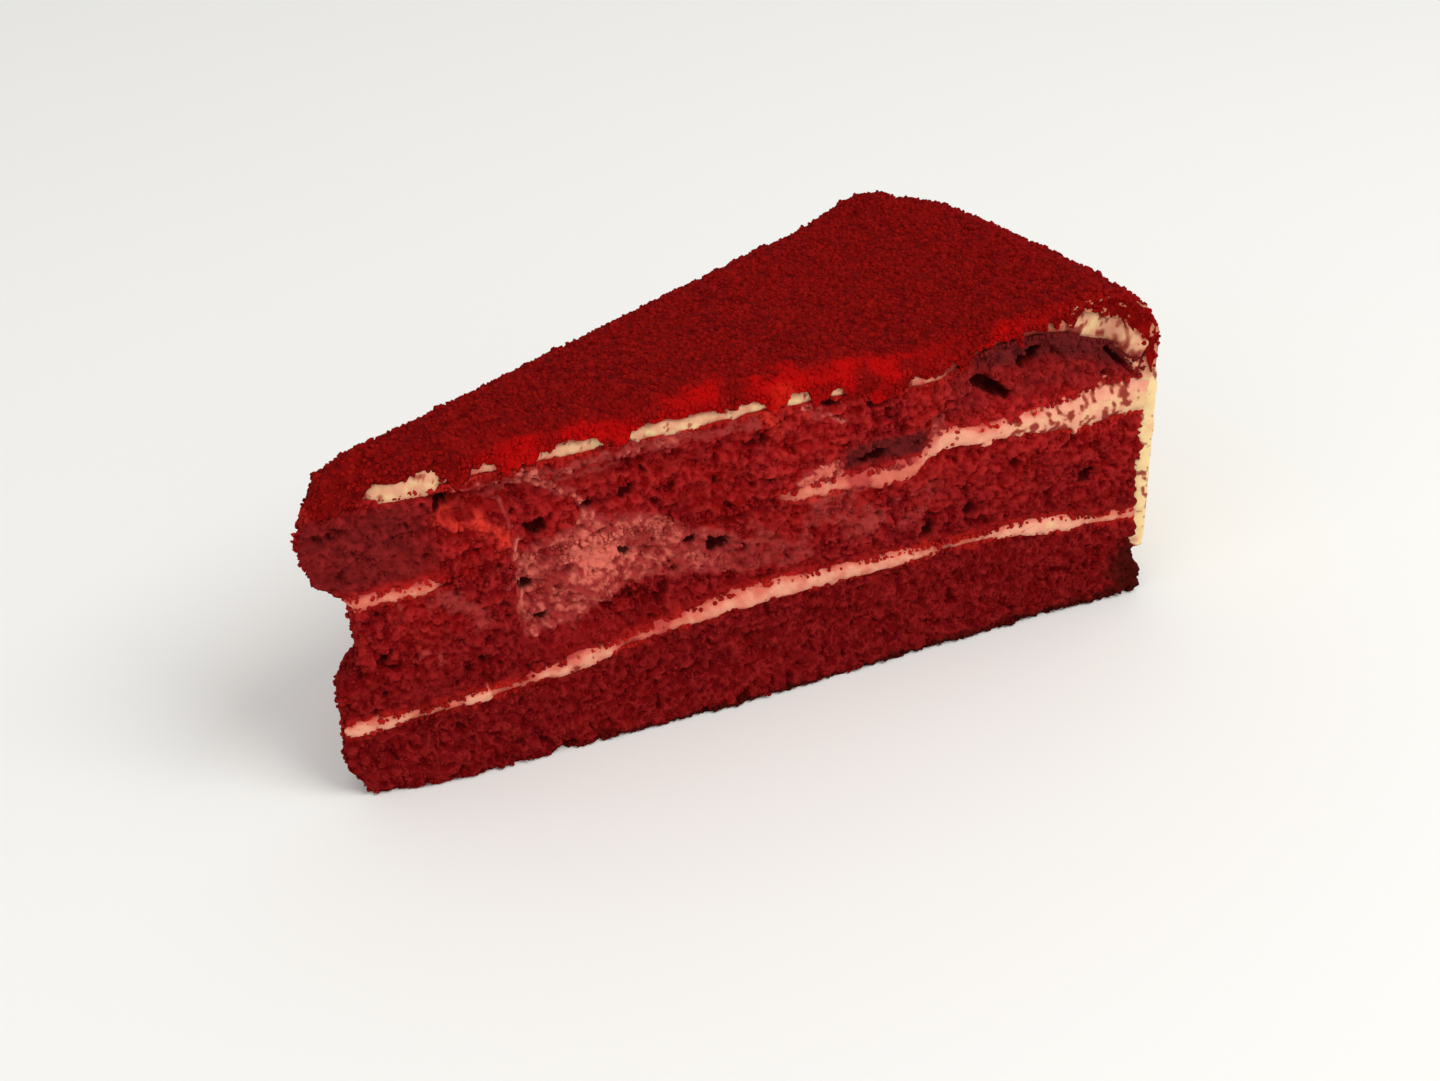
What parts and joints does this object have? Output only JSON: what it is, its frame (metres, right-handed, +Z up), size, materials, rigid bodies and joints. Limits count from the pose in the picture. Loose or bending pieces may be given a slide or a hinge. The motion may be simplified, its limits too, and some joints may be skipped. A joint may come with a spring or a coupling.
{
  "type": "red velvet cake",
  "caption": "Cut slice of layered red sponge cake with cream fillings, pale icing over the top and rim, and a coat of red crumbs on top.",
  "frame": {"origin": "bottom centre of the slice's box, on the surface it stands on", "axes": "+X from the tip to the rim along the middle of the slice, +Z up, near cut face on -Y"},
  "size_m": [0.1378, 0.0646, 0.0567],
  "materials": {
    "sponge": "open red crumb with pores, darker brown where it was baked against the tin",
    "filling": "soft cream stained pink by red crumbs",
    "icing": "smooth pale cream with a soft sheen",
    "crumbs": "fine red crumbs, dull"
  },
  "bodies": {
    "root": {"sponge_bottom": "sponge", "sponge_middle": "sponge", "sponge_top": "sponge", "cream_lower": "filling", "cream_upper": "filling", "frosting": "icing", "crumb_coat": "crumbs"}
  },
  "joints": []
}
